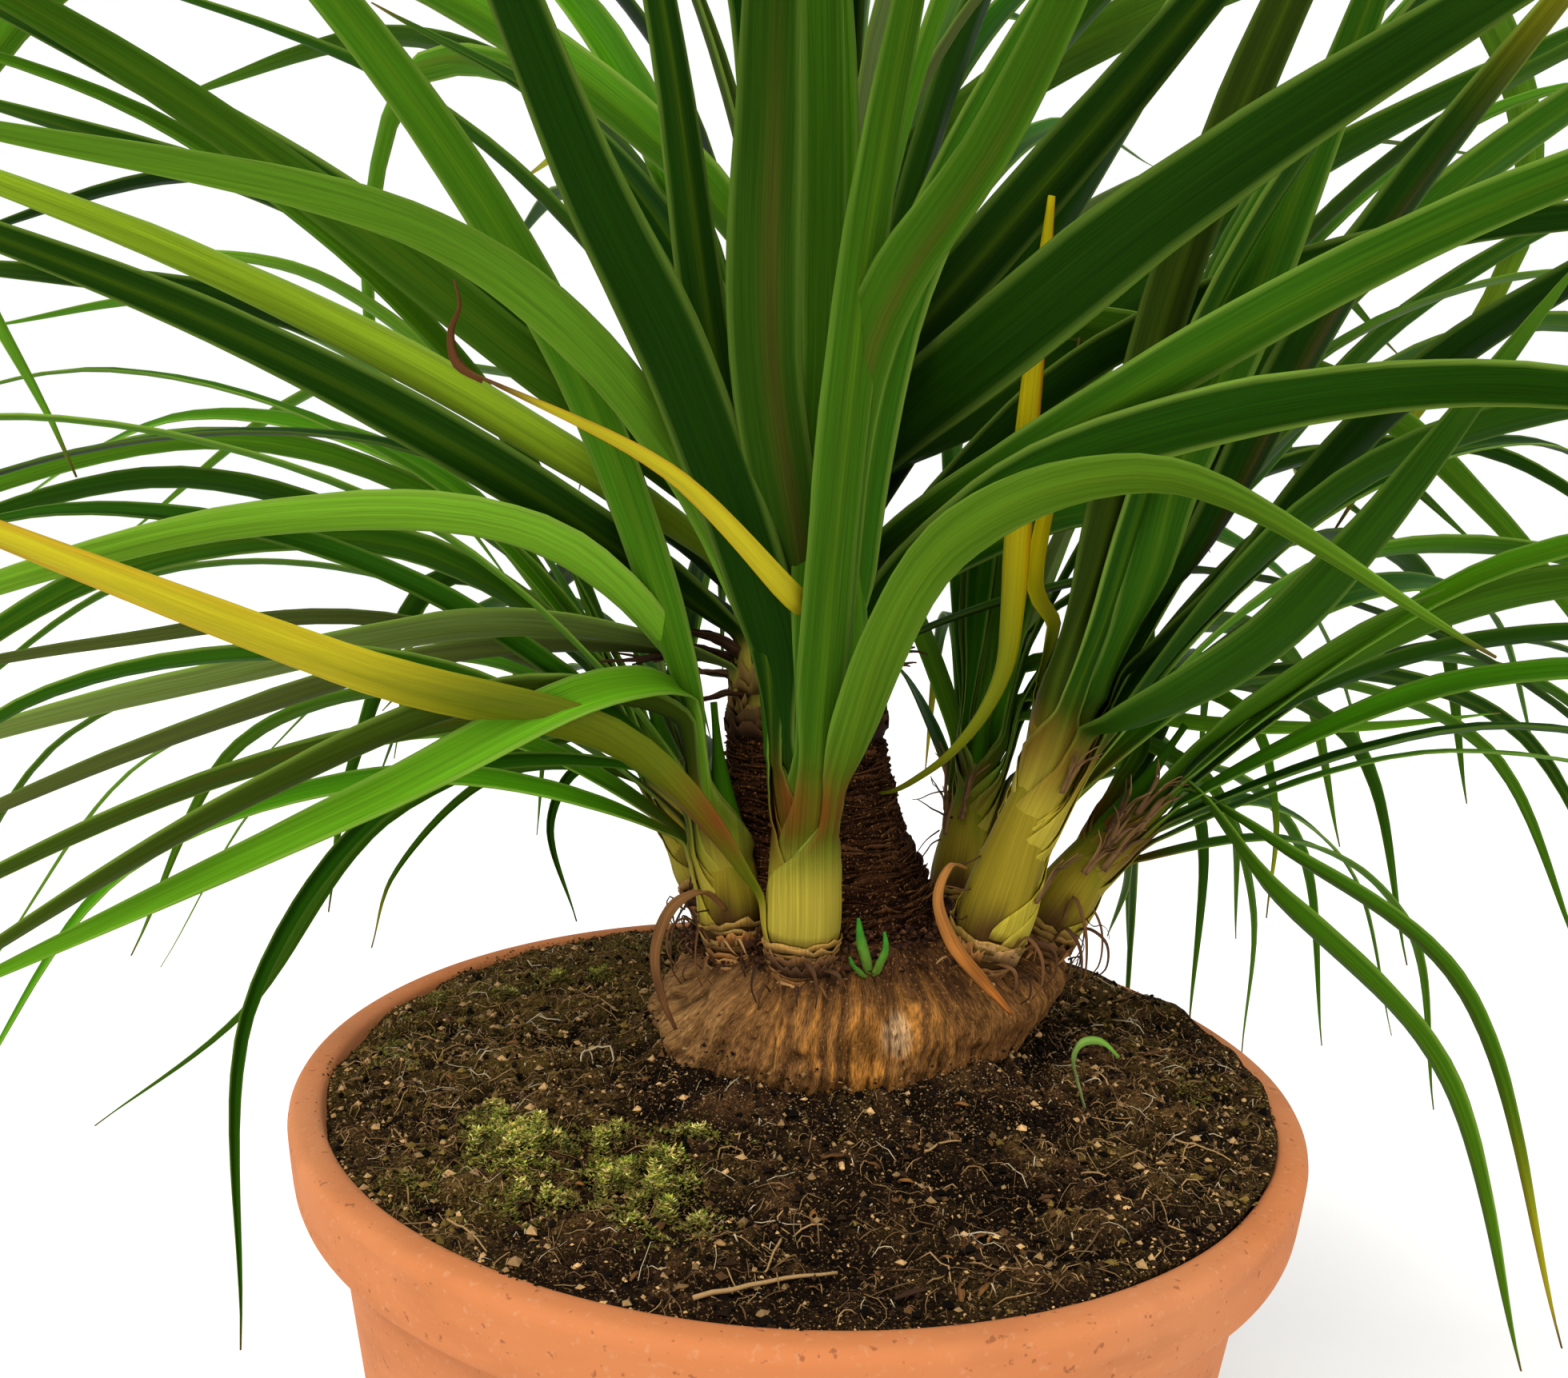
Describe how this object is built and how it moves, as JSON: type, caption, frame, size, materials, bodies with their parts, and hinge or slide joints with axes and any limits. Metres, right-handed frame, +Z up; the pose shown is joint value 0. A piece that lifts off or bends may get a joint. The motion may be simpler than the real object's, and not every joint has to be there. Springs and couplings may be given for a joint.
{
  "type": "potted ponytail palm",
  "caption": "Ponytail palm with a swollen corky caudex, scaly trunk and arching strap leaves, planted in a round terracotta pot of dark mossy soil.",
  "frame": {"origin": "centre of the pot's underside, on the surface it stands on", "axes": "+Z up along the pot's axis, -Y towards the viewer of the plant's open side, where the caudex shows, +X to that viewer's right"},
  "size_m": [0.8013, 0.6425, 0.8856],
  "materials": {
    "terracotta": "matte",
    "soil": "matte",
    "bark": "matte",
    "leaf": "satin",
    "yellow_leaf": "satin",
    "dried_leaf": "matte",
    "young_shoot": "satin"
  },
  "bodies": {
    "root": {"pot": "terracotta", "soil": "soil", "caudex_and_trunk": "bark", "crown_leafy_stem": "leaf", "left_leafy_stem": "leaf", "front_leafy_stem": "leaf", "right_leafy_stem": "leaf", "far_right_leafy_stem": "leaf", "back_right_leafy_stem": "leaf", "back_left_leafy_stem": "leaf", "yellow_front_leaf": "yellow_leaf", "yellow_right_leaf": "yellow_leaf", "yellow_short_leaf": "yellow_leaf", "yellow_crown_leaf": "yellow_leaf", "dried_sheath_right": "dried_leaf", "dried_curl_left": "dried_leaf", "caudex_shoot": "young_shoot", "soil_seedling": "young_shoot"}
  },
  "joints": []
}
